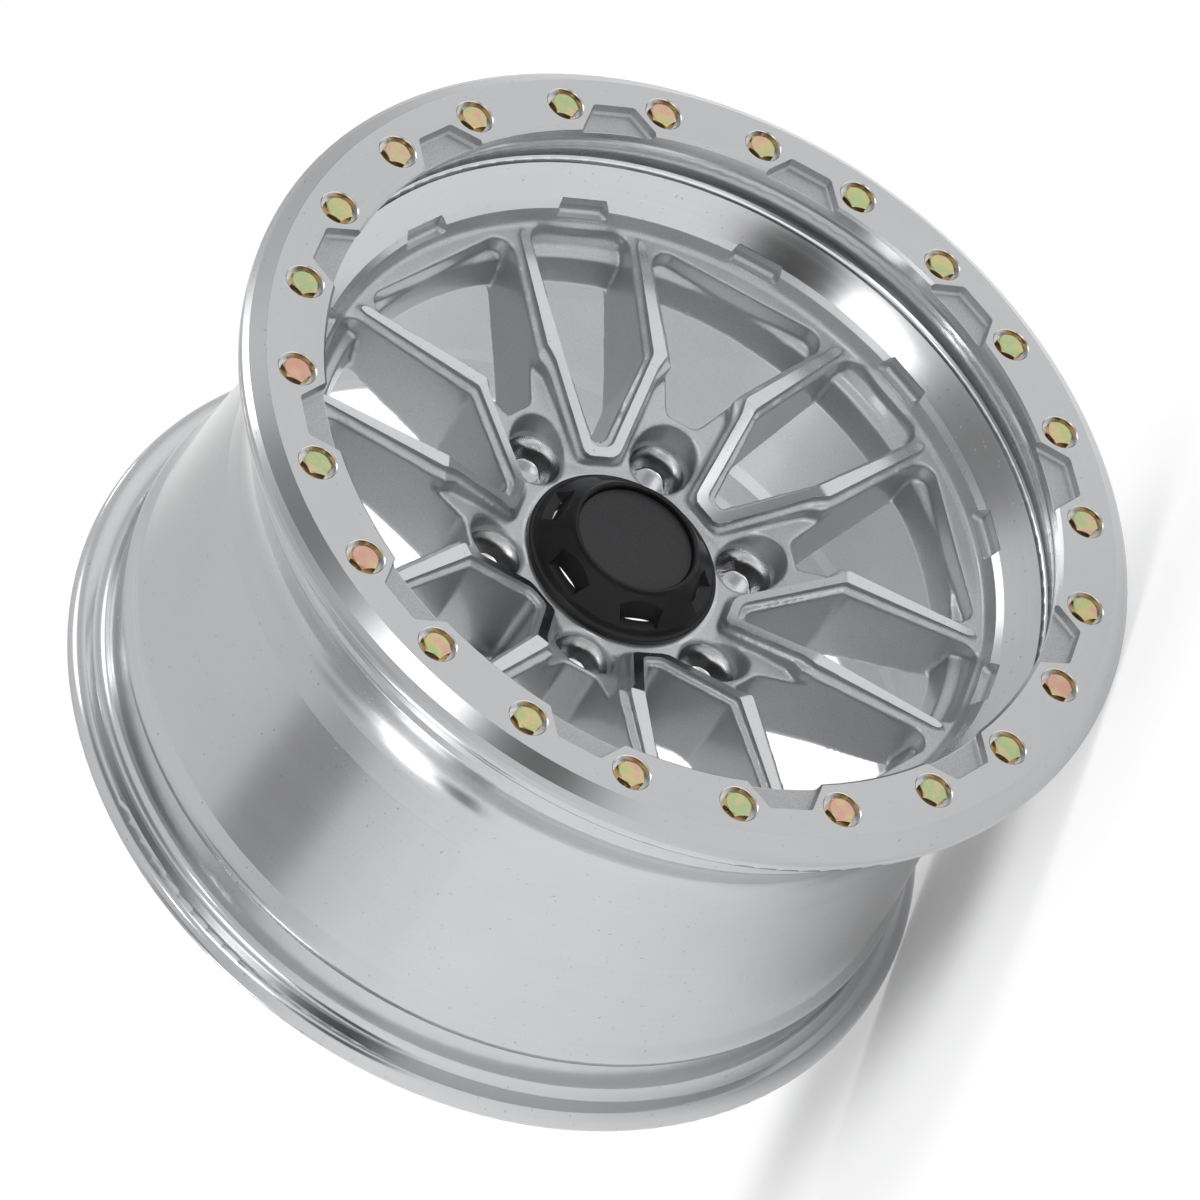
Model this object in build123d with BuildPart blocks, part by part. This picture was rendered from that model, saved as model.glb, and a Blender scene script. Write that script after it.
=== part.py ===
from build123d import *
import os
from math import cos, sin, radians, sqrt, tan, pi

os.makedirs("parts", exist_ok=True)

# Off-road wheel, 17 x 9 inch, six lugs, with a bolt-on bead ring.
# Everything is drawn about the Z axis with the street side up, at stations
# "h" measured from the face of the bead ring (0) down into the wheel
# (negative).  Each finished piece is then laid over once, so that the axle
# runs along Y, the street side looks along -Y and the frame's origin is the
# middle of the wheel's width on the axle.

# ---------------------------------------------------------------- dimensions
WIDTH = 261.0            # ring face to the end of the inboard lip
H0 = WIDTH / 2           # station of the frame's origin below the ring face

LIP_R = 235.8            # rim flange, outer radius (17 inch rim)
BEAD_R = 218.3           # bead seat radius
FACE_OUT = -21.4         # tyre side of the outboard flange
FACE_IN = -250.0         # tyre side of the inboard flange (228.6 mm apart)
WALL = 5.6               # barrel wall

RING_R = 236.4           # bead ring outer radius
RING_BORE = 195.9        # bead ring inner radius
RING_T = 11.5            # bead ring thickness
BOLT_PCD_R = 211.2       # ring bolt circle radius
BOLT_N = 24
CBORE_R = 9.6            # ring counterbore
CBORE_D = 7.2
POCKET_N = 12
POCKET_D = 4.9

PCD = 139.7              # lug circle
LUG_N = 6
LUG_CBORE_R = 14.65
LUG_SEAT_H = -131.0      # top of the 60 degree seat
STUD_HOLE_R = 7.5
HUB_BORE_R = 53.05
CAP_BORE_R = 47.0
HUB_FACE = -99.0
PAD = -148.7             # mounting pad (offset -12 mm)
PAD_R = 80.0

CAP_FLANGE_R = 50.8
CAP_DISC_R = 31.2

TAPPED_R = 4.05


def z(h):
    return h + H0


def P(r, h):
    return (r, z(h))


def turn(u, v, deg):
    c, s = cos(radians(deg)), sin(radians(deg))
    return (u * c - v * s, u * s + v * c)


def arc(cr, ch, rad, a0, a1):
    """Arc in a section, centre (cr, ch), from angle a0 to a1 in degrees."""
    am = (a0 + a1) / 2
    pts = [P(cr + rad * cos(radians(a)), ch + rad * sin(radians(a))) for a in (a0, am, a1)]
    return ThreePointArc(*pts)


def end(edge):
    return edge @ 1


V_AXIS = 90.0            # direction of the first spoke pair
LUG_AXIS = V_AXIS - 30.0

# ------------------------------------------------------------ rim (barrel)
# outer contour of the barrel from the ring seat to the inboard lip, then
# back along the inside to the machined bowl
with BuildPart() as rim:
    with BuildSketch(Plane.XZ):
        with BuildLine():
            Polyline(P(198.4, -RING_T), P(LIP_R - 0.8, -RING_T), P(LIP_R, -RING_T - 0.8), P(LIP_R, -13.4))
            a1 = arc(LIP_R - 8.0, -13.4, 8.0, 0, -90)
            Line(end(a1), P(224.8, FACE_OUT))
            a2 = arc(224.8, FACE_OUT - 6.5, 6.5, 90, 180)
            l2 = Line(end(a2), P(217.3, -41.0))
            s1 = Spline(end(l2), P(218.4, -44.6), P(216.4, -49.0), P(211.6, -60.0), P(206.9, -75.0), P(205.0, -92.0))
            l3 = Polyline(end(s1), P(205.4, -110.0), P(208.9, -145.0), P(215.6, -209.0))
            s2 = Spline(end(l3), P(217.6, -213.6), P(219.4, -217.6), P(219.5, -221.4), P(217.7, -226.0))
            l4 = Line(end(s2), P(218.5, FACE_IN + 6.5))
            a3 = arc(225.0, FACE_IN + 6.5, 6.5, 180, 270)
            l5 = Line(end(a3), P(LIP_R - 7.0, FACE_IN))
            a4 = arc(LIP_R - 7.0, FACE_IN - 7.0, 7.0, 90, 0)
            Line(end(a4), P(LIP_R, FACE_IN - 7.4))
            a5 = arc(LIP_R - 3.6, FACE_IN - 7.4, 3.6, 0, -90)
            l6 = Line(end(a5), P(229.4, -WIDTH))
            s3 = Spline(end(l6), P(224.2, -258.6), P(217.4, -253.6), P(213.2, -246.0))
            l7 = Polyline(end(s3), P(212.2, -236.0), P(212.0, -218.0), P(209.9, -207.0), P(203.2, -145.0), P(199.8, -114.0))
            s4 = Spline(end(l7), P(196.6, -105.6), P(188.0, -100.2), P(170.0, -94.2))
            l8 = Polyline(end(s4), P(167.4, -92.0), P(171.2, -76.3))
            a6 = ThreePointArc(end(l8), P(171.9, -74.9), P(173.2, -74.3))
            l9 = Polyline(end(a6), P(175.6, -73.7), P(176.7, -73.0), P(177.7, -71.3))
            a7 = ThreePointArc(end(l9), P(178.1, -70.2), P(179.4, -69.0))
            l10 = Polyline(end(a7), P(185.5, -53.0), P(188.5, -50.0), P(203.4, -38.4))
            a8 = ThreePointArc(end(l10), P(203.9, -36.3), P(205.4, -34.9))
            s5 = Spline(end(a8), P(205.0, -30.0), P(203.0, -23.0), P(199.6, -16.2), P(198.4, -13.4))
            Line(end(s5), P(198.4, -RING_T))
        make_face()
    revolve(axis=Axis.Z)

# twelve cast pockets that bite into the lower edge of the machined cone
with BuildPart() as bowl_pocket:
    with BuildSketch(Plane.XY.offset(z(-46.0))):
        Polygon(*[turn(u, v, V_AXIS) for u, v in
                  [(189.7, -12.6), (189.9, 0), (189.7, 12.6), (183.6, 16.4), (172.0, 21.0), (172.0, -21.0), (183.6, -16.4)]], align=None)
    extrude(amount=-11.8, taper=9.0)
    fillet(bowl_pocket.faces().sort_by(Axis.Z)[0].edges().filter_by(lambda e: e.center().Y > 176), 2.4)

# valve hole through the cone, square to it, with a spot face inside the tyre
VALVE_AT = V_AXIS + 150.0
VALVE_TILT = 37.8
VALVE_R = 5.65
vx, vy = turn(197.6, 0, VALVE_AT)
valve_dir = (sin(radians(VALVE_TILT)) * cos(radians(VALVE_AT)), sin(radians(VALVE_TILT)) * sin(radians(VALVE_AT)), -cos(radians(VALVE_TILT)))
with BuildPart() as valve_hole:
    with BuildSketch(Plane(origin=(vx, vy, z(-42.9)), z_dir=valve_dir)):
        Circle(VALVE_R)
    extrude(amount=45.0, both=True)
    with BuildSketch(Plane(origin=(vx + 9.0 * valve_dir[0], vy + 9.0 * valve_dir[1], z(-42.9) + 9.0 * valve_dir[2]), z_dir=valve_dir)):
        Circle(9.5)
    extrude(amount=34.0)

# ------------------------------------------------- spokes: plan outlines
# one spoke pair is a narrow U at the hub that opens to two legs, drawn here
# about the U axis for one side, then mirrored
STRIP_OUT = [(59.5, 0), (59.5, 6.6), (61.2, 10.0), (97.6, 28.3), (103.4, 33.4), (171.4, 35.3)]
STRIP_IN = [(171.4, 30.8), (104.1, 26.0), (65.0, 6.1), (63.6, 3.4), (63.6, 0)]
STRIP_TIP = (175.2, 33.0)
BLADE_OUT = [(57.9, 0), (57.9, 7.8), (59.8, 12.5), (95.0, 30.6), (100.0, 37.3), (188.0, 39.2)]
WIN_IN = [(67.0, 0), (67.0, 2.0), (68.6, 4.6), (105.6, 23.2), (180.5, 28.4)]
WIN_OUT = [(89.6, 9.1), (172.6, 54.6)]


def both(pts):
    """Close a half outline by its mirror image in the U axis."""
    back = [(u, -v) for u, v in reversed(pts) if abs(v) > 1e-9]
    return pts + back


def about(pts, deg):
    return [turn(u, v, deg) for u, v in pts]


# height of the turned spoke faces, of the painted ledge beside them and of
# the painted pads round the lugs
TOP = [(57.0, -93.9), (60.0, -92.4), (107.6, -62.4), (176.0, -60.0), (178.5, -59.9)]
LEDGE = [(54.0, -99.0), (57.5, -96.6), (62.0, -95.0), (107.6, -67.0), (160.0, -63.6), (184.4, -61.8)]
PADS = [(46.0, HUB_FACE), (60.5, HUB_FACE), (66.0, -96.8), (85.0, -86.4), (92.0, -83.4), (107.0, -76.4), (112.0, -74.2)]

# hub and spokes as one turned blank
with BuildPart() as blank:
    with BuildSketch(Plane.XZ):
        with BuildLine():
            Polyline(P(CAP_BORE_R, HUB_FACE), P(57.4, HUB_FACE), P(57.4, -93.7), P(60.0, -92.4),
                     P(107.6, -62.4), P(176.2, -60.0), P(184.6, -60.0), P(184.6, -90.0), P(176.0, -96.0),
                     P(165.0, -98.0), P(150.0, -103.0), P(130.0, -109.4), P(115.0, -115.4),
                     P(100.0, -122.0), P(89.0, -131.0), P(82.5, -141.0), P(PAD_R, -145.6), P(PAD_R - 1.5, PAD),
                     P(HUB_BORE_R + 1.5, PAD), P(HUB_BORE_R, PAD + 1.5), P(HUB_BORE_R, -117.0),
                     P(CAP_BORE_R, -112.0), P(CAP_BORE_R, HUB_FACE))
        make_face()
    revolve(axis=Axis.Z)

# windows inside each pair, drafted so that they narrow towards the back
with BuildPart() as win_in:
    with BuildSketch(Plane.XY.offset(z(-58.0))) as sk_in:
        Polygon(*about(both(WIN_IN), V_AXIS), align=None)
        fillet([v for v in sk_in.vertices() if sqrt(v.X ** 2 + v.Y ** 2) > 150], 9.0)
        fillet([v for v in sk_in.vertices() if 90 < sqrt(v.X ** 2 + v.Y ** 2) < 120], 6.0)
    extrude(amount=-83.0, taper=2.2)

# windows between the pairs, with a round bottom outboard of each lug
with BuildPart() as win_out:
    with BuildSketch(Plane.XY.offset(z(-58.0))) as sk_out:
        Polygon(*about(both(WIN_OUT), LUG_AXIS), align=None)
        fillet([v for v in sk_out.vertices() if sqrt(v.X ** 2 + v.Y ** 2) > 150], 9.0)
        fillet([v for v in sk_out.vertices() if sqrt(v.X ** 2 + v.Y ** 2) < 104], 5.5)
        fillet([v for v in sk_out.vertices() if 104 < sqrt(v.X ** 2 + v.Y ** 2) < 110], 5.0)
    extrude(amount=-93.0, taper=2.6)


# outline prisms of the turned faces (six) and of the painted blades (six)
with BuildPart() as strips:
    with BuildSketch(Plane.XY.offset(z(-110.0))) as sk_strip:
        half_out = about(STRIP_OUT + [STRIP_TIP] + STRIP_IN, V_AXIS)
        other = about([(u, -v) for u, v in STRIP_OUT + [STRIP_TIP] + STRIP_IN], V_AXIS)
        Polygon(*half_out, align=None)
        Polygon(*other, align=None)
        fillet([v for v in sk_strip.vertices() if 172.0 < sqrt(v.X ** 2 + v.Y ** 2) < 176.5], 1.9)
        fillet([v for v in sk_strip.vertices() if sqrt(v.X ** 2 + v.Y ** 2) < 66.5 and abs(turn(v.X, v.Y, -V_AXIS)[1]) > 1], 1.3)
        fillet([v for v in sk_strip.vertices() if 98.0 < sqrt(v.X ** 2 + v.Y ** 2) < 112], 1.5)
    extrude(amount=70.0)

with BuildPart() as blades:
    with BuildSketch(Plane.XY.offset(z(-118.0))) as sk_blade:
        Polygon(*about(both(BLADE_OUT), V_AXIS), align=None)
        fillet([v for v in sk_blade.vertices() if sqrt(v.X ** 2 + v.Y ** 2) < 62], 3.0)
        fillet([v for v in sk_blade.vertices() if 96 < sqrt(v.X ** 2 + v.Y ** 2) < 110], 2.0)
    extrude(amount=80.0)

# everything above the ledge beside the turned faces comes off
with BuildPart() as over_ledge:
    with BuildSketch(Plane.XZ):
        Polygon(*([P(r, h) for r, h in LEDGE] + [P(184.4, -50.0), P(54.0, -50.0)]), align=None)
    revolve(axis=Axis.Z)
    for i in range(6):
        add(strips.part.rotate(Axis.Z, 60.0 * i), mode=Mode.SUBTRACT)

# and everything above the lug pads beside the blades
with BuildPart() as over_pads:
    with BuildSketch(Plane.XZ):
        Polygon(*([P(r, h) for r, h in PADS] + [P(112.0, -50.0), P(46.0, -50.0)]), align=None)
    revolve(axis=Axis.Z)
    for i in range(6):
        add(blades.part.rotate(Axis.Z, 60.0 * i), mode=Mode.SUBTRACT)

# recess round each lug: a round land at the hub side, a rounded rectangle
# that opens outwards, drafted walls
with BuildPart() as recess:
    with BuildSketch(Plane.XY.offset(z(-76.0))) as sk_rec:
        with Locations(turn(PCD / 2, 0, LUG_AXIS)):
            Circle(18.4)
        Polygon(*about([(PCD / 2 - 3, -17.0), (PCD / 2 + 9.6, -15.6), (PCD / 2 + 14.4, -12.0), (PCD / 2 + 15.6, 0), (PCD / 2 + 14.4, 12.0),
                        (PCD / 2 + 9.6, 15.6), (PCD / 2 - 3, 17.0)], LUG_AXIS), align=None)
        fillet([v for v in sk_rec.vertices() if sqrt(v.X ** 2 + v.Y ** 2) > 80.5 and abs(turn(v.X, v.Y, -LUG_AXIS)[1]) > 14], 4.0)
    extrude(amount=-25.2, taper=5.0)

with BuildPart() as lug_bore:
    with BuildSketch(Plane(origin=(*turn(PCD / 2, 0, LUG_AXIS), 0), x_dir=(1, 0, 0), z_dir=(0, -1, 0))):
        Polygon((0, z(-70.0)), (LUG_CBORE_R, z(-70.0)), (LUG_CBORE_R, z(LUG_SEAT_H + 1.0)), (LUG_CBORE_R - 1.0, z(LUG_SEAT_H)),
                (11.6, z(LUG_SEAT_H)), (STUD_HOLE_R, z(LUG_SEAT_H - 7.1)), (STUD_HOLE_R, z(PAD - 2.0)), (0, z(PAD - 2.0)),
                align=None)
    revolve(axis=Axis((*turn(PCD / 2, 0, LUG_AXIS), 0), (0, 0, 1)))

# ------------------------------------------------------------ wheel body
with BuildPart() as wheel_body:
    add(blank)
    for i in range(6):
        add(win_in.part.rotate(Axis.Z, 60.0 * i), mode=Mode.SUBTRACT)
        add(win_out.part.rotate(Axis.Z, 60.0 * i), mode=Mode.SUBTRACT)
    add(over_ledge, mode=Mode.SUBTRACT)
    add(over_pads, mode=Mode.SUBTRACT)
    for i in range(6):
        add(recess.part.rotate(Axis.Z, 60.0 * i), mode=Mode.SUBTRACT)
    add(rim)
    for i in range(12):
        add(bowl_pocket.part.rotate(Axis.Z, 30.0 * i), mode=Mode.SUBTRACT)
    add(valve_hole, mode=Mode.SUBTRACT)
    for i in range(6):
        add(lug_bore.part.rotate(Axis.Z, 60.0 * i), mode=Mode.SUBTRACT)
    # blind holes for the ring bolts
    with BuildSketch(Plane.XY.offset(z(-RING_T))):
        with PolarLocations(BOLT_PCD_R, BOLT_N, start_angle=V_AXIS + 7.5):
            Circle(TAPPED_R)
    extrude(amount=-20.5, mode=Mode.SUBTRACT)

# ------------------------------------------------------------ bead ring
with BuildPart() as beadlock_ring:
    with BuildSketch(Plane.XZ):
        Polygon(P(RING_BORE + 1.5, 0), P(226.6, 0), P(233.9, -5.2), P(RING_R, -7.7), P(RING_R, -10.9), P(RING_R - 0.6, -RING_T),
                P(198.6, -RING_T), P(197.9, -10.8), P(RING_BORE, -1.5), align=None)
    revolve(axis=Axis.Z)

# pockets in every second gap between the bolts, open to the bore
with BuildPart() as pocket:
    with BuildSketch(Plane.XY.offset(z(0.0))) as sk_p:
        Polygon(*about([(211.0, -11.4), (211.0, 11.4), (195.6, 20.6), (186.0, 26.3), (186.0, -26.3), (195.6, -20.6)], V_AXIS), align=None)
        fillet([v for v in sk_p.vertices() if sqrt(v.X ** 2 + v.Y ** 2) > 205], 2.6)
    extrude(amount=-POCKET_D, taper=14.0)
    fillet(pocket.faces().sort_by(Axis.Z)[0].edges().filter_by(lambda e: e.center().Y > 187), 1.7)

with BuildPart() as ring:
    add(beadlock_ring)
    for i in range(POCKET_N):
        add(pocket.part.rotate(Axis.Z, 30.0 * i), mode=Mode.SUBTRACT)
    with BuildSketch(Plane.XY.offset(z(0.0))):
        with PolarLocations(BOLT_PCD_R, BOLT_N, start_angle=V_AXIS + 7.5):
            Circle(CBORE_R)
    extrude(amount=-CBORE_D, mode=Mode.SUBTRACT)
    with BuildSketch(Plane.XY.offset(z(-CBORE_D))):
        with PolarLocations(BOLT_PCD_R, BOLT_N, start_angle=V_AXIS + 7.5):
            Circle(4.5)
    extrude(amount=-RING_T, mode=Mode.SUBTRACT)
    # small bright chamfer at the mouth of each counterbore
    mouths = ring.edges().filter_by(GeomType.CIRCLE).filter_by(lambda e: abs(e.radius - CBORE_R) < 0.01 and abs(e.center().Z - z(0)) < 0.01)
    chamfer(mouths, 0.5)

# ------------------------------------------------------------ ring bolts
HEAD_TOP = -0.3
HEAD_H = 5.3
HEAD_AF = 13.0
with BuildPart() as bolt:
    with BuildSketch(Plane.XY.offset(z(HEAD_TOP - HEAD_H))):
        RegularPolygon(HEAD_AF / 2, 6, major_radius=False)
    extrude(amount=HEAD_H)
    # turned 30 degree chamfer on the head
    with BuildSketch(Plane.XZ):
        Polygon(P(6.15, HEAD_TOP), P(9.5, HEAD_TOP - 1.75), P(9.5, HEAD_TOP + 1.0), P(6.15, HEAD_TOP + 1.0), align=None)
    revolve(axis=Axis.Z, mode=Mode.SUBTRACT)
    with BuildSketch(Plane.XY.offset(z(HEAD_TOP - HEAD_H))):
        Circle(4.0)
    extrude(amount=-24.6)
    chamfer(bolt.edges().filter_by(GeomType.CIRCLE).group_by(Axis.Z)[0], 0.8)

with BuildPart() as washer:
    with BuildSketch(Plane.XY.offset(z(-CBORE_D))):
        Circle(8.0)
        Circle(4.2, mode=Mode.SUBTRACT)
    extrude(amount=CBORE_D + HEAD_TOP - HEAD_H)

# each bolt was tightened to its own stop, so the flats face every way
TWIST = [11, 38, 52, 7, 29, 44, 19, 3, 57, 33, 24, 48, 14, 41, 1, 36, 22, 55, 9, 31, 46, 17, 50, 27]
bolt_set = Compound(children=[
    bolt.part.rotate(Axis.Z, TWIST[i]).moved(Location((*turn(BOLT_PCD_R, 0, V_AXIS + 7.5 + 15.0 * i), 0)))
    for i in range(BOLT_N)])
washer_set = Compound(children=[
    washer.part.moved(Location((*turn(BOLT_PCD_R, 0, V_AXIS + 7.5 + 15.0 * i), 0)))
    for i in range(BOLT_N)])

# ------------------------------------------------------------ lug nuts
NUT_TOP = -110.5
NUT_AF = 19.0
with BuildPart() as nut:
    with BuildSketch(Plane.XY.offset(z(LUG_SEAT_H))):
        RegularPolygon(NUT_AF / 2, 6, major_radius=False)
    extrude(amount=NUT_TOP - LUG_SEAT_H)
    with BuildSketch(Plane.XZ):
        Polygon(P(7.2, NUT_TOP), P(9.1, NUT_TOP - 1.9), P(11.6, NUT_TOP - 3.4), P(12.5, NUT_TOP + 1.0), P(7.2, NUT_TOP + 1.0), align=None)
    revolve(axis=Axis.Z, mode=Mode.SUBTRACT)
    with BuildSketch(Plane.XZ):
        Polygon(P(0, LUG_SEAT_H + 1.2), P(10.6, LUG_SEAT_H + 1.2), P(11.5, LUG_SEAT_H), P(7.75, LUG_SEAT_H - 6.5), P(0, LUG_SEAT_H - 6.5), align=None)
    revolve(axis=Axis.Z)
    # blind threaded bore, 14 mm stud
    with BuildSketch(Plane.XY.offset(z(LUG_SEAT_H - 7.5))):
        Circle(7.0)
    extrude(amount=24.0, mode=Mode.SUBTRACT)

NUT_TWIST = [8, 37, 21, 50, 3, 29]
nut_set = Compound(children=[
    nut.part.rotate(Axis.Z, NUT_TWIST[i]).moved(Location((*turn(PCD / 2, 0, LUG_AXIS + 60.0 * i), 0)))
    for i in range(LUG_N)])

# ------------------------------------------------------------ centre cap
with BuildPart() as cap:
    with BuildSketch(Plane.XZ):
        Polygon(P(0, -83.2), P(CAP_DISC_R, -83.2), P(CAP_DISC_R + 0.2, -78.2), P(CAP_DISC_R + 1.0, -77.3), P(CAP_DISC_R + 2.2, -77.6),
                P(34.6, -79.4), P(46.9, -92.6), P(48.3, -94.9), P(48.9, -95.4), P(50.2, -95.6), P(CAP_FLANGE_R, -96.2), P(CAP_FLANGE_R, HUB_FACE),
                P(46.6, HUB_FACE), P(46.6, -111.4), P(47.5, -113.3), P(46.2, -115.6), P(44.2, -115.6), P(44.2, -96.6),
                P(43.6, -93.6), P(31.4, -86.2), P(0, -86.2), align=None)
    revolve(axis=Axis.Z)

# six notches round the cone: a low floor, a tall inner wall, flared sides
CAP_TURN = -4.5
with BuildPart() as notch:
    with BuildSketch(Plane.XY.offset(z(-92.0))):
        Polygon(*about([(40.4, -8.0), (47.9, -12.0), (47.9, 12.0), (40.4, 8.0)], V_AXIS + CAP_TURN), align=None)
    with BuildSketch(Plane.XY.offset(z(-78.0))):
        Polygon(*about([(35.4, -15.2), (57.0, -19.2), (57.0, 19.2), (35.4, 15.2)], V_AXIS + CAP_TURN), align=None)
    loft()

with BuildPart() as centre_cap:
    add(cap)
    for i in range(6):
        add(notch.part.rotate(Axis.Z, 60.0 * i), mode=Mode.SUBTRACT)
    # slots that part the skirt into six sprung legs
    with BuildSketch(Plane.XY.offset(z(-118.0))):
        with PolarLocations(45.5, 6, start_angle=V_AXIS + 30.0):
            Rectangle(8.0, 16.0)
    extrude(amount=16.0, mode=Mode.SUBTRACT)
    # groove inside the legs for the tension ring
    with BuildSketch(Plane.XZ):
        with Locations(P(44.2, -109.6)):
            Circle(1.35)
    revolve(axis=Axis.Z, mode=Mode.SUBTRACT)

with BuildPart() as cap_disc:
    with BuildSketch(Plane.XY.offset(z(-83.2))):
        Circle(CAP_DISC_R - 0.05)
    extrude(amount=2.4)
    chamfer(cap_disc.edges().group_by(Axis.Z)[-1], 0.4)

# open wire ring that springs the cap's legs outwards
with BuildPart() as tension_ring:
    with BuildSketch(Plane.XZ):
        with Locations(P(43.9, -109.6)):
            Circle(1.3)
    revolve(axis=Axis.Z, revolution_arc=344.0)

# ------------------------------------------------------------ write pieces
pieces = {
    "wheel_body": wheel_body.part,
    "beadlock_ring": ring.part,
    "ring_bolts": bolt_set,
    "ring_washers": washer_set,
    "lug_nuts": nut_set,
    "centre_cap": centre_cap.part,
    "cap_disc": cap_disc.part,
    "cap_tension_ring": tension_ring.part,
}
for name, shape in pieces.items():
    laid = shape.rotate(Axis.X, 90)
    laid.label = name
    export_step(laid, "parts/" + name + ".step")
    bb = laid.bounding_box()
    print(name, "volume %.0f mm3" % laid.volume, [round(c, 1) for c in (*bb.min, *bb.max)])
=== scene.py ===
import math
import bpy
import bmesh
import numpy as np
from mathutils import Vector, Matrix


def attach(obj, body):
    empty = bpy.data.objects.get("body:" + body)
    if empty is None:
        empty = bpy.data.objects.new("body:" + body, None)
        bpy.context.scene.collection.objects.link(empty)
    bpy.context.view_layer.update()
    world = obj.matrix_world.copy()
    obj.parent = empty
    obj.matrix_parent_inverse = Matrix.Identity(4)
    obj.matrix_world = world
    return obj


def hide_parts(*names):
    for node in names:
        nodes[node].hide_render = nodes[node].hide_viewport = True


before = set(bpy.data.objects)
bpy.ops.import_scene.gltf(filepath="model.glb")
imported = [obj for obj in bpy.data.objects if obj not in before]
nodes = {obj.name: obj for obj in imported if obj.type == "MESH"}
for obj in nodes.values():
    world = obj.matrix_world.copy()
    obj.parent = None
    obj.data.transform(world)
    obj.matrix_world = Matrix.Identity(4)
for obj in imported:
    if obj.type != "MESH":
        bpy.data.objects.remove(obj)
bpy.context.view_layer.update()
scene = bpy.context.scene

# ------------------------------------------------------------------ camera
# fitted to the photograph: long lens, the wheel seen from its left front
RIGHT = Vector((0.27813, -0.39112, -0.87731))
UP = Vector((0.68336, -0.56129, 0.46688))
BACK = Vector((-0.67503, -0.72937, 0.11117))
FACE = Vector((0.0, -0.1305, 0.0))
cam_data = bpy.data.cameras.new("camera")
cam_data.sensor_fit = "HORIZONTAL"
cam_data.sensor_width = 36.0
cam_data.lens = 36.0 * 7182.6 / 1200.0
cam_data.clip_end = 60.0
cam = bpy.data.objects.new("camera", cam_data)
scene.collection.objects.link(cam)
pos = FACE - RIGHT * 0.04898 - UP * 0.07507 + BACK * 3.5123
rot = Matrix((RIGHT, UP, BACK)).transposed()
cam.matrix_world = Matrix.Translation(pos) @ rot.to_4x4()
scene.camera = cam
scene.view_settings.view_transform = "Standard"
scene.cycles.max_bounces = 5
scene.cycles.diffuse_bounces = 2
scene.cycles.glossy_bounces = 4


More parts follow.
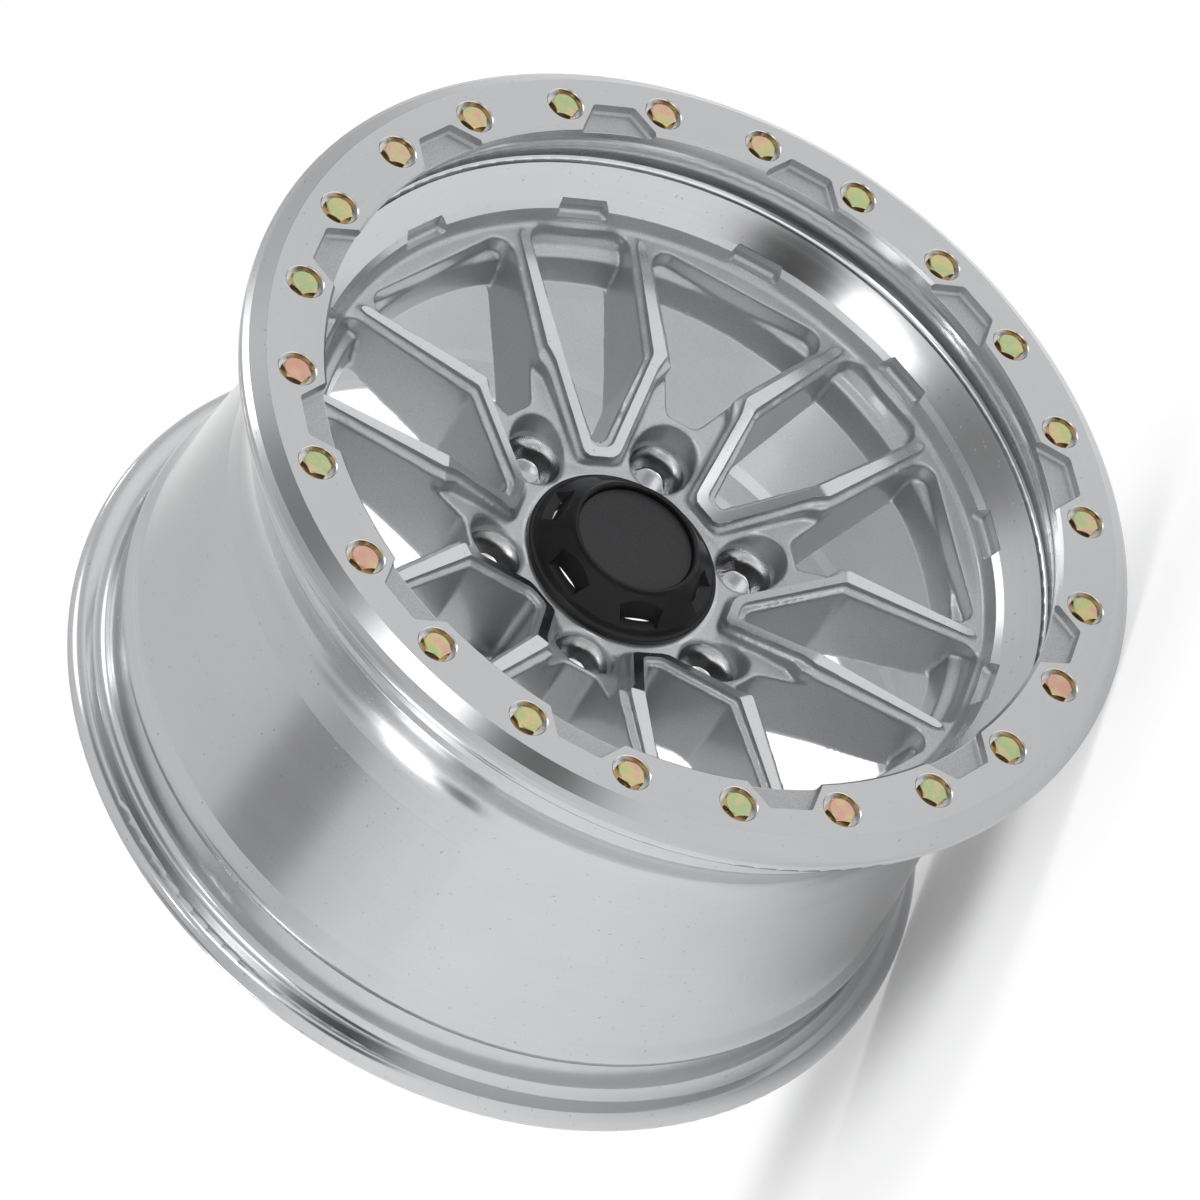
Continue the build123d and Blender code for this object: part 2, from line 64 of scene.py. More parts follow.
# ------------------------------------------------------------ node helpers
class Mat:
    """A material under construction, with short calls for its nodes."""

    def __init__(self, name):
        self.m = bpy.data.materials.new(name)
        self.m.use_nodes = True
        self.t = self.m.node_tree
        self.b = self.t.nodes["Principled BSDF"]

    def node(self, kind, **inputs):
        n = self.t.nodes.new(kind)
        for k, v in inputs.items():
            setattr(n, k, v)
        return n

    def link(self, a, b):
        self.t.links.new(a, b)

    def put(self, sock, v):
        if isinstance(v, bpy.types.NodeSocket):
            self.link(v, sock)
        else:
            sock.default_value = v

    def math(self, op, a, b=0.0, c=0.0, clamp=False):
        n = self.node("ShaderNodeMath", operation=op, use_clamp=clamp)
        for s, v in zip(n.inputs, (a, b, c)):
            self.put(s, v)
        return n.outputs[0]

    def xyz(self, v):
        n = self.node("ShaderNodeSeparateXYZ")
        self.link(v, n.inputs[0])
        return n.outputs

    def vec(self, x, y, z):
        n = self.node("ShaderNodeCombineXYZ")
        for s, v in zip(n.inputs, (x, y, z)):
            self.put(s, v)
        return n.outputs[0]

    def noise(self, vector, scale, detail=2.0, rough=0.5, distortion=0.0):
        n = self.node("ShaderNodeTexNoise")
        self.link(vector, n.inputs["Vector"])
        n.inputs["Scale"].default_value = scale
        n.inputs["Detail"].default_value = detail
        n.inputs["Roughness"].default_value = rough
        n.inputs["Distortion"].default_value = distortion
        return n.outputs["Fac"]

    def ramp(self, fac, *stops, mode="LINEAR"):
        n = self.node("ShaderNodeValToRGB")
        n.color_ramp.interpolation = mode
        e = n.color_ramp.elements
        while len(e) < len(stops):
            e.new(0.5)
        for el, (p, c) in zip(e, stops):
            el.position = p
            el.color = c if len(c) == 4 else (*c, 1.0)
        self.link(fac, n.inputs[0])
        return n.outputs[0]

    def span(self, v, a, b, lo=0.0, hi=1.0, smooth=True):
        n = self.node("ShaderNodeMapRange", interpolation_type="SMOOTHSTEP" if smooth else "LINEAR")
        self.link(v, n.inputs["Value"])
        for k, x in (("From Min", a), ("From Max", b), ("To Min", lo), ("To Max", hi)):
            n.inputs[k].default_value = x
        return n.outputs[0]

    def mix(self, f, a, b):
        n = self.node("ShaderNodeMix", data_type="RGBA")
        self.put(n.inputs[0], f)
        for s, v in ((n.inputs[6], a), (n.inputs[7], b)):
            if isinstance(v, bpy.types.NodeSocket):
                self.link(v, s)
            else:
                s.default_value = v if len(v) == 4 else (*v, 1.0)
        return n.outputs[2]

    def mixf(self, f, a, b):
        n = self.node("ShaderNodeMix", data_type="FLOAT")
        self.put(n.inputs[0], f)
        self.put(n.inputs[2], a)
        self.put(n.inputs[3], b)
        return n.outputs[0]

    def bump(self, height, strength, distance, normal=None):
        n = self.node("ShaderNodeBump")
        n.inputs["Strength"].default_value = strength
        n.inputs["Distance"].default_value = distance
        self.link(height, n.inputs["Height"])
        if normal is not None:
            self.link(normal, n.inputs["Normal"])
        return n.outputs[0]

    def mixn(self, f, a, b):
        n = self.node("ShaderNodeMix", data_type="VECTOR")
        self.put(n.inputs[0], f)
        self.link(a, n.inputs[4])
        self.link(b, n.inputs[5])
        return n.outputs[1]

    def place(self):
        """Object coordinates, which are the row frame's, in metres."""
        n = self.node("ShaderNodeTexCoord")
        return n.outputs["Object"]

    def polar(self, p):
        """(r, station h below the ring face, angle in turns) in metres."""
        x, y, z = self.xyz(p)
        r = self.math("SQRT", self.math("ADD", self.math("MULTIPLY", x, x), self.math("MULTIPLY", z, z)))
        h = self.math("MULTIPLY_ADD", y, -1.0, -0.1305)
        a = self.math("MULTIPLY", self.math("ARCTAN2", z, x), 1 / (2 * math.pi))
        return r, h, a


def metal(name, color, rough, aniso=0.0):
    k = Mat(name)
    k.b.inputs["Base Color"].default_value = (*color, 1.0)
    k.b.inputs["Metallic"].default_value = 1.0
    k.b.inputs["Roughness"].default_value = rough
    if aniso:
        k.b.inputs["Anisotropic"].default_value = aniso
        t = k.node("ShaderNodeTangent", direction_type="RADIAL", axis="Y")
        k.link(t.outputs[0], k.b.inputs["Tangent"])
    return k


def turned(k, p, base, rough, depth=1.0, marks=1.0):
    """Lathe-turned alloy: fine rings, a little cloudiness, pits and stray scratches."""
    r, h, a = k.polar(p)
    # rings follow the circumference: noise stretched hard along it
    c, s = k.math("COSINE", k.math("MULTIPLY", a, 2 * math.pi)), k.math("SINE", k.math("MULTIPLY", a, 2 * math.pi))
    across = k.math("ADD", k.math("MULTIPLY", r, 1.0), k.math("MULTIPLY", h, 1.37))
    ring = k.noise(k.vec(k.math("MULTIPLY", across, 1500.0), k.math("MULTIPLY", c, 1.2), k.math("MULTIPLY", s, 1.2)), 1.0, 1.0, 0.6)
    broad = k.noise(k.vec(k.math("MULTIPLY", across, 190.0), k.math("MULTIPLY", c, 0.8), k.math("MULTIPLY", s, 0.8)), 1.0, 1.0, 0.6)
    cloud = k.noise(p, 17.0, 2.0, 0.55)
    speck = k.span(k.noise(p, 520.0, 0.0, 0.4), 0.80, 0.84)
    # scratches: thin lines at slanted angles, in patches
    rot1 = k.node("ShaderNodeMapping")
    k.link(p, rot1.inputs["Vector"])
    rot1.inputs["Rotation"].default_value = (0.5, 0.8, 1.1)
    rot1.inputs["Scale"].default_value = (14.0, 620.0, 620.0)
    s1 = k.span(k.noise(rot1.outputs[0], 1.0, 1.0, 0.3), 0.735, 0.78)
    patch = k.span(k.noise(p, 9.0, 0.0, 0.5), 0.50, 0.62)
    scr = k.math("MULTIPLY", s1, patch)
    tone = k.math("MULTIPLY_ADD", k.math("SUBTRACT", cloud, 0.5), 0.09, 1.0)
    tone = k.math("MULTIPLY", tone, k.math("MULTIPLY_ADD", k.math("SUBTRACT", ring, 0.5), 0.07, 1.0))
    tone = k.math("MULTIPLY", tone, k.math("MULTIPLY_ADD", speck, -0.22, 1.0))
    mul = k.node("ShaderNodeVectorMath", operation="SCALE")
    mul.inputs[0].default_value = base[:3]
    k.link(tone, mul.inputs["Scale"])
    ro = k.math("MULTIPLY_ADD", k.math("SUBTRACT", broad, 0.5), 0.05, rough)
    ro = k.math("ADD", ro, k.math("MULTIPLY", k.math("SUBTRACT", cloud, 0.5), 0.07))
    ro = k.math("ADD", ro, k.math("MULTIPLY", scr, 0.12 * marks))
    hgt = k.math("ADD", k.math("MULTIPLY", ring, 0.30), k.math("MULTIPLY", broad, 0.22))
    hgt = k.math("SUBTRACT", hgt, k.math("MULTIPLY", speck, 0.5 * marks))
    return mul.outputs[0], ro, hgt


# ------------------------------------------------------------- materials
def m_casting():
    """The wheel's casting: machined where a lathe or cutter ran, silver paint elsewhere."""
    k = metal("casting", (0.6, 0.6, 0.6), 0.3)
    p = k.place()
    r, h, a = k.polar(p)
    # turned strip faces of the spokes: on the two cones of the turned blank
    top = k.math("MINIMUM", k.math("MULTIPLY_ADD", r, 0.63025, -0.130215), k.math("MULTIPLY_ADD", r, 0.035088, -0.066175))
    on_top = k.math("MULTIPLY", k.span(k.math("SUBTRACT", h, top), -0.00030, -0.00014), k.span(r, 0.0585, 0.0588))
    on_top = k.math("MULTIPLY", on_top, k.span(r, 0.1772, 0.1768))
    # machined cone above the painted annulus, less its cast pockets
    edge = k.math("MULTIPLY_ADD", r, 1.1667, -0.269417)
    cone = k.math("MULTIPLY", k.span(h, -0.0531, -0.0529), k.span(r, 0.1850, 0.1852))
    line = k.math("MINIMUM", k.math("MULTIPLY_ADD", r, 0.77852, -0.19675), k.math("MULTIPLY_ADD", r, 1.0, -0.2385))
    cone = k.math("MULTIPLY", cone, k.span(k.math("SUBTRACT", h, line), -0.00050, -0.00025))
    cone = k.math("MAXIMUM", cone, k.span(h, -0.0375, -0.0370))
    # lug counterbores and seats
    turns = k.math("MULTIPLY", k.math("SUBTRACT", a, 1 / 6), 6.0)
    off = k.math("MULTIPLY", k.math("SUBTRACT", turns, k.math("ROUND", turns)), math.pi / 3)
    dx = k.math("SUBTRACT", k.math("MULTIPLY", r, k.math("COSINE", off)), 0.06985)
    dz = k.math("MULTIPLY", r, k.math("SINE", off))
    d = k.math("SQRT", k.math("ADD", k.math("MULTIPLY", dx, dx), k.math("MULTIPLY", dz, dz)))
    wide = k.math("MULTIPLY", k.span(d, 0.01502, 0.01490), k.span(h, -0.1322, -0.1318))
    lug = k.math("MAXIMUM", wide, k.math("MULTIPLY", k.span(d, 0.0122, 0.0120), k.span(h, -0.1400, -0.1395)))
    lug = k.math("MULTIPLY", lug, k.span(h, -0.1005, -0.1010))
    # pad, bores and the back of the hub, turned as well
    back = k.math("MULTIPLY", k.span(h, -0.1482, -0.1485), k.span(r, 0.084, 0.083))
    back = k.math("MAXIMUM", back, k.math("MULTIPLY", k.span(r, 0.0533, 0.0532), k.span(h, -0.0988, -0.0992)))
    # outside of the barrel and both flanges; the inside behind the spokes is painted
    out = k.span(k.math("SUBTRACT", r, k.math("MULTIPLY_ADD", k.math("MAXIMUM", k.math("MULTIPLY_ADD", h, -1.0, -0.11), 0.0), 0.1047, 0.2025)), -0.0003, 0.0003)
    out = k.math("MAXIMUM", out, k.span(h, -0.2535, -0.2545))
    bare = on_top
    for m in (cone, lug, back, out):
        bare = k.math("MAXIMUM", bare, m)
    # bare alloy
    c1, ro1, hg1 = turned(k, p, ALLOY, 0.175)
    # the wall under the ring is painted lighter than the other bare alloy: painted light that lifts the shade of this
    # deep concave wall
    under_ring_painted_light = k.math("MULTIPLY", k.span(h, -0.0372, -0.0362), k.span(r, 0.2047, 0.2042))
    c1 = k.mix(under_ring_painted_light, c1, (0.76, 0.765, 0.775))
    # the lug counterbores and seats are painted lighter: painted light that lifts the shade in these deep recesses and
    # brightens what the nuts reflect
    c1 = k.mix(lug, c1, (0.88, 0.885, 0.89))
    ro1 = k.mixf(lug, ro1, 0.24)
    # paint
    fleck = k.noise(p, 1500.0, 1.0, 0.6)
    peel = k.noise(p, 260.0, 0.0, 0.5)
    cloud = k.noise(p, 22.0, 1.0, 0.6)
    tone = k.math("MULTIPLY_ADD", k.math("SUBTRACT", fleck, 0.5), 0.55, 1.0)
    tone = k.math("MULTIPLY", tone, k.math("MULTIPLY_ADD", k.math("SUBTRACT", cloud, 0.5), 0.14, 1.0))
    # painted shade: the paint inside the barrel behind the spokes is made darker
    behind_painted_shade = k.math("MULTIPLY", k.span(h, -0.100, -0.112), k.span(r, 0.150, 0.185))
    tone = k.math("MULTIPLY", tone, k.mixf(behind_painted_shade, 1.0, 0.94))
    # painted light: the cast pockets in the machined cone are made lighter than the rest of the paint
    pockets = k.math("MULTIPLY", k.span(h, -0.0535, -0.0530), k.span(r, 0.1850, 0.1852))
    tone = k.math("MULTIPLY", tone, k.mixf(pockets, 1.0, 1.28))
    mul = k.node("ShaderNodeVectorMath", operation="SCALE")
    mul.inputs[0].default_value = PAINT
    k.link(tone, mul.inputs["Scale"])
    ro2 = k.math("MULTIPLY_ADD", k.math("SUBTRACT", fleck, 0.5), 0.16, 0.42)
    hg2 = k.math("MULTIPLY_ADD", fleck, 0.35, k.math("MULTIPLY", peel, 1.0))
    k.link(k.mix(bare, mul.outputs[0], c1), k.b.inputs["Base Color"])
    k.link(k.mixf(bare, ro2, ro1), k.b.inputs["Roughness"])
    k.link(k.mixf(bare, 0.80, 1.0), k.b.inputs["Metallic"])
    k.link(k.mixf(bare, 0.65, 0.0), k.b.inputs["Coat Weight"])
    k.b.inputs["Coat Roughness"].default_value = 0.09
    k.link(k.mixn(bare, k.bump(hg2, 0.25, 0.00006), k.bump(hg1, 0.125, 0.00006)), k.b.inputs["Normal"])
    return k.m


def m_ring():
    """Satin turned ring with painted pockets, and counterbores painted bright as painted light."""
    k = metal("bead_ring", (0.6, 0.6, 0.6), 0.36)
    p = k.place()
    r, h, a = k.polar(p)
    turns = k.math("MULTIPLY_ADD", k.math("SUBTRACT", a, (V_AXIS + 7.5) / 360.0), 24.0, 0.0)
    off = k.math("MULTIPLY", k.math("SUBTRACT", turns, k.math("ROUND", turns)), math.pi / 12)
    dx = k.math("SUBTRACT", k.math("MULTIPLY", r, k.math("COSINE", off)), 0.2112)
    dz = k.math("MULTIPLY", r, k.math("SINE", off))
    d = k.math("SQRT", k.math("ADD", k.math("MULTIPLY", dx, dx), k.math("MULTIPLY", dz, dz)))
    hole = k.span(d, 0.01030, 0.01020)
    bore = k.math("MULTIPLY_ADD", k.math("MAXIMUM", k.math("MULTIPLY_ADD", h, -1.0, -0.0015), 0.0), 0.215, 0.19615)
    bore = k.math("MAXIMUM", bore, k.math("ADD", h, 0.19765))
    sunk = k.math("MULTIPLY", k.span(h, -0.00012, -0.00030), k.span(h, -0.0056, -0.0053))
    sunk = k.math("MULTIPLY", sunk, k.span(k.math("SUBTRACT", r, bore), -0.00005, 0.00015))
    sunk = k.math("MULTIPLY", sunk, k.span(r, 0.2122, 0.2119))
    sunk = k.math("MULTIPLY", sunk, k.math("SUBTRACT", 1.0, hole))
    c1, ro1, hg1 = turned(k, p, RING, 0.34, marks=0.35)
    # the bevel and the outer edge were cut last and are brighter
    rim = k.math("MULTIPLY", k.span(r, 0.2264, 0.2268), 1.0)
    inner = k.span(r, 0.1976, 0.1974)
    shiny = k.math("MAXIMUM", k.math("MAXIMUM", rim, inner), hole)
    ro1 = k.math("SUBTRACT", ro1, k.math("MULTIPLY", shiny, 0.12))
    # the counterbore walls below the face are painted lighter: painted light that lifts their shade and brightens what
    # the bolt heads reflect
    c1 = k.mix(k.math("MULTIPLY", hole, k.span(h, -0.0001, -0.0004)), c1, (0.80, 0.805, 0.81))
    fleck = k.noise(p, 1500.0, 1.0, 0.6)
    peel = k.noise(p, 260.0, 0.0, 0.5)
    tone = k.math("MULTIPLY_ADD", k.math("SUBTRACT", fleck, 0.5), 0.55, 1.0)
    mul = k.node("ShaderNodeVectorMath", operation="SCALE")
    mul.inputs[0].default_value = PAINT_RING
    k.link(tone, mul.inputs["Scale"])
    ro2 = k.math("MULTIPLY_ADD", k.math("SUBTRACT", fleck, 0.5), 0.16, 0.42)
    hg2 = k.math("MULTIPLY_ADD", fleck, 0.35, peel)
    k.link(k.mix(sunk, c1, mul.outputs[0]), k.b.inputs["Base Color"])
    k.link(k.mixf(sunk, ro1, ro2), k.b.inputs["Roughness"])
    k.link(k.mixf(sunk, 1.0, 0.80), k.b.inputs["Metallic"])
    k.link(k.mixf(sunk, 0.0, 0.65), k.b.inputs["Coat Weight"])
    k.b.inputs["Coat Roughness"].default_value = 0.09
    k.link(k.mixn(sunk, k.bump(hg1, 0.18, 0.00005), k.bump(hg2, 0.18, 0.00005)), k.b.inputs["Normal"])
    return k.m


def m_zinc():
    """Yellow zinc: gold to brown on the flanks, made brighter as painted light against their dark reflections, a
    drifting pink, olive and green film on the tops.
    """
    k = metal("yellow_zinc", (0.7, 0.5, 0.3), 0.2)
    p = k.place()
    r, h, a = k.polar(p)
    # one film thickness per bolt, with a drift across each head
    cell = k.math("ROUND", k.math("MULTIPLY", k.math("SUBTRACT", a, (V_AXIS + 7.5) / 360.0), 24.0))
    n = k.node("ShaderNodeTexWhiteNoise", noise_dimensions="1D")
    k.link(k.math("ADD", cell, 17.0), n.inputs["W"])
    drift = k.noise(p, 105.0, 2.0, 0.5)
    fine = k.noise(p, 900.0, 2.0, 0.5)
    film = k.math("MULTIPLY_ADD", k.math("SUBTRACT", n.outputs["Value"], 0.5), 0.62, 0.5)
    film = k.math("ADD", film, k.math("MULTIPLY", k.math("SUBTRACT", drift, 0.5), 1.25))
    film = k.math("ADD", film, k.math("MULTIPLY", k.math("SUBTRACT", fine, 0.5), 0.10))
    top = k.ramp(film, (0.0, (0.56, 0.33, 0.25)), (0.22, (0.60, 0.37, 0.29)), (0.38, (0.56, 0.47, 0.25)),
                 (0.52, (0.44, 0.48, 0.23)), (0.66, (0.37, 0.47, 0.26)), (0.80, (0.54, 0.47, 0.27)), (0.93, (0.60, 0.36, 0.31)))
    # the flanks' gold is the film's own colour, raised in brightness as painted light against the dark counterbore they
    # reflect
    flank_gold_and_painted_light = k.ramp(fine, (0.3, (0.82, 0.50, 0.18)), (0.7, (0.95, 0.66, 0.32)))
    up = k.span(h, -0.00120, -0.00045)
    k.link(k.mix(up, flank_gold_and_painted_light, top), k.b.inputs["Base Color"])
    k.link(k.math("MULTIPLY_ADD", k.math("SUBTRACT", fine, 0.5), 0.12, k.mixf(up, 0.14, 0.22)), k.b.inputs["Roughness"])
    k.link(k.bump(k.noise(p, 1400.0, 2.0, 0.6), 0.10, 0.00004), k.b.inputs["Normal"])
    return k.m


def m_cap():
    """Black moulding: satin cone and flange, faint moulding grain, dust-fine scuffs."""
    k = Mat("cap_black")
    p = k.place()
    n = k.noise(p, 700.0, 3.0, 0.6)
    smear = k.noise(p, 60.0, 3.0, 0.6)
    k.link(k.ramp(k.math("MULTIPLY_ADD", n, 0.3, k.math("MULTIPLY", smear, 0.7)), (0.3, (0.005, 0.005, 0.006)), (0.75, (0.012, 0.012, 0.013))), k.b.inputs["Base Color"])
    k.link(k.math("MULTIPLY_ADD", smear, 0.16, 0.27), k.b.inputs["Roughness"])
    k.b.inputs["Specular IOR Level"].default_value = 0.28
    k.link(k.bump(n, 0.08, 0.00006), k.b.inputs["Normal"])
    return k.m


def m_disc():
    """Matt insert with a fine grain and a worn sheen."""
    k = Mat("disc_black")
    p = k.place()
    n = k.noise(p, 1300.0, 3.0, 0.7)
    smear = k.noise(p, 45.0, 3.0, 0.6)
    k.link(k.ramp(n, (0.3, (0.010, 0.010, 0.012)), (0.75, (0.026, 0.027, 0.029))), k.b.inputs["Base Color"])
    k.link(k.math("MULTIPLY_ADD", smear, 0.14, 0.36), k.b.inputs["Roughness"])
    k.b.inputs["Specular IOR Level"].default_value = 0.35
    k.link(k.bump(n, 0.22, 0.00008), k.b.inputs["Normal"])
    return k.m


def m_simple(name, color, metallic, rough, scale=300.0, amt=0.1):
    k = Mat(name)
    p = k.place()
    n = k.noise(p, scale, 3.0, 0.6)
    mul = k.node("ShaderNodeVectorMath", operation="SCALE")
    mul.inputs[0].default_value = color
    k.link(k.math("MULTIPLY_ADD", k.math("SUBTRACT", n, 0.5), amt * 2, 1.0), mul.inputs["Scale"])
    k.link(mul.outputs[0], k.b.inputs["Base Color"])
    k.b.inputs["Metallic"].default_value = metallic
    k.link(k.math("MULTIPLY_ADD", k.math("SUBTRACT", n, 0.5), 0.12, rough), k.b.inputs["Roughness"])
    k.link(k.bump(n, 0.1, 0.0001), k.b.inputs["Normal"])
    return k.m


ALLOY = (0.565, 0.570, 0.580)
RING = (0.490, 0.495, 0.504)
PAINT = (0.470, 0.479, 0.494)
PAINT_RING = (0.360, 0.367, 0.379)
V_AXIS = 90.0

mats = {
    "wheel_body": m_casting(),
    "beadlock_ring": m_ring(),
    "ring_bolts": m_zinc(),
    "ring_washers": m_simple("washer_zinc", (0.62, 0.60, 0.55), 1.0, 0.26),
    "lug_nuts": m_simple("chrome", (0.93, 0.93, 0.94), 1.0, 0.09, 500.0, 0.03),
    "centre_cap": m_cap(),
    "cap_disc": m_disc(),
    "cap_tension_ring": m_simple("spring_wire", (0.40, 0.40, 0.41), 1.0, 0.3),
}
for name, obj in nodes.items():
    obj.data.materials.clear()
    obj.data.materials.append(mats[name])

# ------------------------------------------------------------- the casting
# the cast body is shown by two meshes: the turned rim as drawn, and the
# spokes, hub and annulus with the soft edges that a mould leaves
SEAM_OUT = -58.6         # station of the upper seam, on the painted annulus
SEAM_IN = -119.0         # station of the lower seam, inside the barrel


def station(co):
    return np.hypot(co[:, 0], co[:, 2]) * 1000.0, -(co[:, 1] + 0.1305) * 1000.0


def face_height(r):
    """Station of the spokes' turned faces at radius r, in millimetres."""
    return np.minimum(-92.4 + (r - 60.0) * 30.0 / 47.6, -62.4 + (r - 107.6) * 2.4 / 68.4)


def machine(bm):
    """Cuts the spokes' faces flat: every point above face_height comes down to it."""
    co = np.array([v.co for v in bm.verts])
    r, h = station(co)
    above = h - face_height(r)
    tall = (r > 177.4) & (above > -0.5)
    lift = {v: co[i, 1] for i, v in enumerate(bm.verts) if r[i] > 177.4}
    above = np.where(tall, -0.5, above)
    for v, a in zip(bm.verts, above):
        v.co.y = -a / 1000.0
    geom = bm.verts[:] + bm.edges[:] + bm.faces[:]
    out = bmesh.ops.bisect_plane(bm, geom=geom, dist=1e-6, plane_co=(0, 0, 0), plane_no=(0, 1, 0))
    for e in out["geom_cut"]:
        if isinstance(e, bmesh.types.BMEdge):
            e.smooth = False
    co = np.array([v.co for v in bm.verts])
    r = np.hypot(co[:, 0], co[:, 2]) * 1000.0
    low = np.minimum(-co[:, 1] * 1000.0, 0.0)
    for v, rr, a in zip(bm.verts, r, low):
        v.co.y = -(a + float(face_height(rr))) / 1000.0 - 0.1305
    for v, y in lift.items():
        v.co.y = y


def cut(bm, h):
    geom = bm.verts[:] + bm.edges[:] + bm.faces[:]
    bmesh.ops.bisect_plane(bm, geom=geom, dist=1e-7, plane_co=(0, -0.1305 - h / 1000.0, 0), plane_no=(0, 1, 0))


def verts_of(mesh):
    co = np.zeros(len(mesh.vertices) * 3, np.float32)
    mesh.vertices.foreach_get("co", co)
    return co.reshape(-1, 3).astype(float)


body = nodes["wheel_body"]
whole = body.data.copy()
# the spokes' faces are left proud here, as they come from the mould, and are
# machined down to their drawn height once the casting is soft
co = verts_of(whole)
r, h = station(co)
proud = (np.abs(h - face_height(r)) < 0.04) & (r > 58.5) & (r < 177.0)
co[proud, 1] -= 0.0026
whole.vertices.foreach_set("co", co.astype(np.float32).ravel())
drawn = body.data.copy()
normals = np.zeros(len(drawn.loops) * 3, np.float32)
drawn.corner_normals.foreach_get("vector", normals)
layer = drawn.attributes.new("drawn_normal", "FLOAT_VECTOR", "CORNER")
layer.data.foreach_set("vector", normals)
bm = bmesh.new()
bm.from_mesh(drawn)
cut(bm, SEAM_OUT)
cut(bm, SEAM_IN)
gone = []
for f in bm.faces:
    c = f.calc_center_median()
    rr = math.hypot(c.x, c.z) * 1000.0
    hh = -(c.y + 0.1305) * 1000.0
    if hh > SEAM_OUT or rr > 203.0 or (hh < SEAM_IN and rr > 190.0):
        continue
    gone.append(f)
bmesh.ops.delete(bm, geom=gone, context="FACES")
rim_mesh = bpy.data.meshes.new("rim_turned")
bm.to_mesh(rim_mesh)
bm.free()
rim_mesh.shade_smooth()
normals = np.zeros(len(rim_mesh.loops) * 3, np.float32)
rim_mesh.attributes["drawn_normal"].data.foreach_get("vector", normals)
normals = normals.reshape(-1, 3)
normals /= np.maximum(np.linalg.norm(normals, axis=1), 1e-9)[:, None]
rim_mesh.attributes.remove(rim_mesh.attributes["drawn_normal"])
# the cone, the small lip at its edge and the wall under the ring are surfaces
# of revolution: their normals come from the profile
co = verts_of(rim_mesh)
r, h = station(co)
across = np.stack([co[:, 0], np.zeros(len(co)), co[:, 2]], 1) / np.maximum(r, 1e-6)[:, None] * 1000.0
corner = np.zeros(len(rim_mesh.loops), np.int32)
rim_mesh.loops.foreach_get("vertex_index", corner)
first = np.zeros(len(rim_mesh.polygons), np.int32)
count = np.zeros(len(rim_mesh.polygons), np.int32)
rim_mesh.polygons.foreach_get("loop_start", first)
rim_mesh.polygons.foreach_get("loop_total", count)
off_cone = np.abs(r - 203.4 - (h + 38.4) * 14.9 / 11.6)


def faces_where(good):
    return np.repeat(np.minimum.reduceat(good[corner].astype(int), first) > 0, count)


for good in ((off_cone < 0.03) & (h > -53.1) & (h < -38.35),
             (h > -38.45) & (h < -34.85) & (r > 203.3) & (r < 205.45),
             (h > -34.95) & (h < -13.35) & (r > 198.3) & (r < 205.45)):
    here = faces_where(good)
    key, inverse = np.unique(np.round(h[corner[here]], 2), return_inverse=True)
    mean = np.bincount(inverse, weights=r[corner[here]]) / np.bincount(inverse)
    if len(key) < 3:
        continue
    slope = np.gradient(mean, key, edge_order=2)[inverse]
    new = -across[corner[here]] + slope[:, None] * np.array([0.0, -1.0, 0.0])
    normals[here] = new / np.linalg.norm(new, axis=1)[:, None]
rim_mesh.normals_split_custom_set(normals.tolist())
rim = bpy.data.objects.new("rim_turned", rim_mesh)
scene.collection.objects.link(rim)

tmp = bpy.data.objects.new("tmp_whole", whole)
scene.collection.objects.link(tmp)
mod = tmp.modifiers.new("remesh", "REMESH")
mod.mode = "VOXEL"
mod.voxel_size = 0.00115
dense = bpy.data.meshes.new_from_object(tmp.evaluated_get(bpy.context.evaluated_depsgraph_get()))
bpy.data.objects.remove(tmp)
co = verts_of(dense)
F = np.zeros(len(dense.polygons) * 4, np.int32)
dense.polygons.foreach_get("vertices", F)
F = F.reshape(-1, 4)
r, h = station(co)
keep = (r < 201.2) & ((h < -57.0) | (r < 178.0)) & ~((h < -121.0) & (r > 190.0))
F = F[keep[F].all(1)]
used = np.unique(F)
remap = -np.ones(len(co), int)
remap[used] = np.arange(len(used))
co = co[used]
F = remap[F]
E = np.concatenate([F[:, [0, 1]], F[:, [1, 2]], F[:, [2, 3]], F[:, [3, 0]]])
E.sort(1)
E, times = np.unique(E, axis=0, return_counts=True)
border = np.zeros(len(co), bool)
border[E[times == 1].ravel()] = True
degree = np.bincount(E.ravel(), minlength=len(co))[:, None]
for step in range(8):
    for amount in (0.5, -0.42):
        s = np.zeros_like(co)
        for i, j in ((0, 1), (1, 0)):
            for c in range(3):
                s[:, c] += np.bincount(E[:, i], weights=co[E[:, j], c], minlength=len(co))
        move = s / degree - co
        move[border] = 0
        co = co + amount * move
smooth = bpy.data.meshes.new("smooth")
smooth.from_pydata(co.tolist(), [], F.tolist())
tmp = bpy.data.objects.new("tmp_smooth", smooth)
scene.collection.objects.link(tmp)
mod = tmp.modifiers.new("fewer", "DECIMATE")
mod.ratio = min(1.0, 174000 / (2 * len(F)))
fewer = bpy.data.meshes.new_from_object(tmp.evaluated_get(bpy.context.evaluated_depsgraph_get()))
bpy.data.objects.remove(tmp)
bm = bmesh.new()
bm.from_mesh(fewer)
cut(bm, SEAM_OUT + 0.05)
cut(bm, SEAM_IN - 0.05)
gone = []
for f in bm.faces:
    c = f.calc_center_median()
    rr = math.hypot(c.x, c.z) * 1000.0
    hh = -(c.y + 0.1305) * 1000.0
    if (hh > SEAM_OUT + 0.05 and rr > 180.0) or (hh < SEAM_IN - 0.05 and rr > 190.0):
        gone.append(f)
bmesh.ops.delete(bm, geom=gone, context="FACES")
machine(bm)
centre_mesh = bpy.data.meshes.new("spokes_cast")
bm.to_mesh(centre_mesh)
bm.free()
centre_mesh.shade_smooth()
centre = bpy.data.objects.new("spokes_cast", centre_mesh)
scene.collection.objects.link(centre)
for o in (rim, centre):
    o.data.materials.append(mats["wheel_body"])
    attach(o, "root")
    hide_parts("wheel_body")
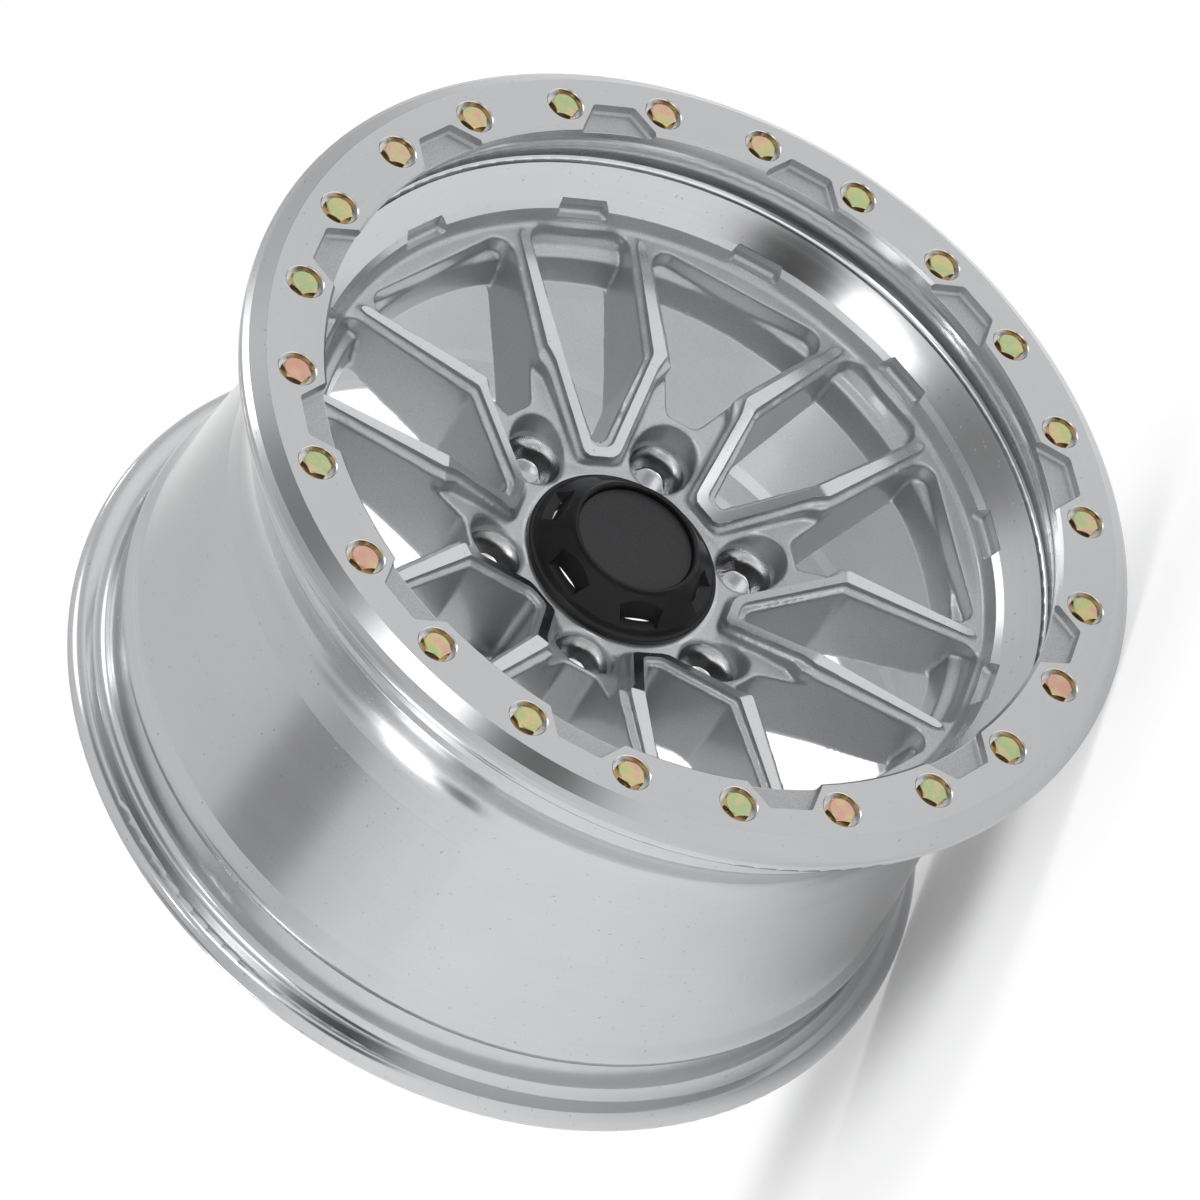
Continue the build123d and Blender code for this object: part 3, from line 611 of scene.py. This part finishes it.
for me in (whole, drawn, dense, smooth, fewer):
    bpy.data.meshes.remove(me)

# ------------------------------------------------------------- stage, light
m = bpy.data.meshes.new("floor")
bm = bmesh.new()
R = 60.0
n = 64
vs = [bm.verts.new((R * math.cos(2 * math.pi * i / n), R * math.sin(2 * math.pi * i / n), -0.2368)) for i in range(n)]
bm.faces.new(vs)
bm.to_mesh(m)
bm.free()
floor = bpy.data.objects.new("floor", m)
scene.collection.objects.link(floor)
fm = Mat("floor_white")
fx, fy, fz = fm.xyz(fm.place())
# the paper ends in front of the wheel, towards the camera's side
fr = fm.math("SQRT", fm.math("ADD", fm.math("MULTIPLY", fx, fx), fm.math("MULTIPLY", fy, fy)))
fd = fm.math("DIVIDE", fm.math("ADD", fm.math("MULTIPLY", fx, -0.50), fm.math("MULTIPLY", fy, -0.866)), fr)
dark = fm.math("MULTIPLY", fm.span(fd, math.cos(math.radians(18)), math.cos(math.radians(10))), fm.span(fr, 0.8, 2.0))
paper = fm.mixf(dark, 0.62, 0.04)
fm.link(fm.vec(paper, paper, paper), fm.b.inputs["Base Color"])
# and its glow is cut right under the wheel: a painted contact shadow
painted_contact_shadow = fm.math("MULTIPLY", fm.span(fm.math("ABSOLUTE", fx), 0.20, 0.03), fm.span(fm.math("ABSOLUTE", fm.math("SUBTRACT", fy, 0.12)), 0.19, 0.08))
glow = fm.math("MULTIPLY", fm.mixf(dark, 1.0, 0.03), fm.mixf(painted_contact_shadow, 1.0, 0.36))
fm.link(fm.vec(glow, glow, glow), fm.b.inputs["Emission Color"])
fm.b.inputs["Emission Strength"].default_value = 0.5
fm.b.inputs["Roughness"].default_value = 0.9
fm.b.inputs["Specular IOR Level"].default_value = 0.0
# a floor this wide is found by the reflected rays, so it isn't sampled as a lamp
fm.m.cycles.emission_sampling = "NONE"
m.materials.append(fm.m)

# the studio: a pale room whose brightness changes with direction, with soft
# boxes and darker gaps between them
world = bpy.data.worlds.new("studio")
scene.world = world
world.use_nodes = True
wt = world.node_tree
bg = wt.nodes["Background"]


class World(Mat):
    def __init__(self, tree):
        self.t = tree


w = World(wt)
geo = w.node("ShaderNodeTexCoord").outputs["Generated"]


def toward(az, el):
    a, e = math.radians(az), math.radians(el)
    return (math.cos(e) * math.cos(a), math.cos(e) * math.sin(a), math.sin(e))


def spot(az, el, inner, outer):
    """1 within inner degrees of a direction, falling to 0 at outer degrees."""
    n = w.node("ShaderNodeVectorMath", operation="DOT_PRODUCT")
    w.link(geo, n.inputs[0])
    n.inputs[1].default_value = toward(az, el)
    return w.span(n.outputs["Value"], math.cos(math.radians(outer)), math.cos(math.radians(inner)))


BASE_LOW, BASE_MID, BASE_TOP = 1.0, 0.73, 0.84
BOXES = [
    # azimuth, elevation, inner and outer radius in degrees, radiance
    (-97, 42, 6, 22, 0.30),
    (-121, -1, 9, 14, 0.03),
    (133, 34, 5, 13, 0.38),
    (106, 26, 3, 8, 0.42),
    (92, 18, 2.5, 6.5, 0.36),
    (81, 12, 2, 6, 0.40),
    (112, 1, 5, 8, 0.12),
    (115, 13, 4.0, 6.5, 3.0),
    (106, 12, 4.0, 6.0, 3.0),
    (97.5, 10, 3.0, 5.0, 3.0),
    (89, 5, 1.5, 3.5, 1.6),
    (-40, 68, 9, 17, 2.3),
    (-62, 68, 2.0, 3.6, 12.0),
    (15, 40, 2.0, 3.6, 12.0),
    (-155, 42, 2.0, 3.6, 10.0),
]
gx, gy, gz = w.xyz(geo)
level = w.span(gz, 0.10, 0.50, BASE_LOW, BASE_MID)
level = w.mixf(w.span(gz, 0.60, 0.90), level, BASE_TOP)
for az, el, inner, outer, value in BOXES:
    level = w.mixf(spot(az, el, inner, outer), level, value)
w.link(level, bg.inputs["Strength"])
bg.inputs[0].default_value = (1.0, 1.0, 1.0, 1)


def area(name, loc, target, size, power, size_y=None):
    d = bpy.data.lights.new(name, "AREA")
    d.energy = power
    d.size = size
    if size_y:
        d.shape = "RECTANGLE"
        d.size_y = size_y
    o = bpy.data.objects.new(name, d)
    scene.collection.objects.link(o)
    o.location = loc
    v = Vector(target) - Vector(loc)
    o.rotation_euler = v.to_track_quat("-Z", "Y").to_euler()
    return o


area("key", (-1.64, -3.43, 1.24), (0, 0, 0), 1.05, 11.5)
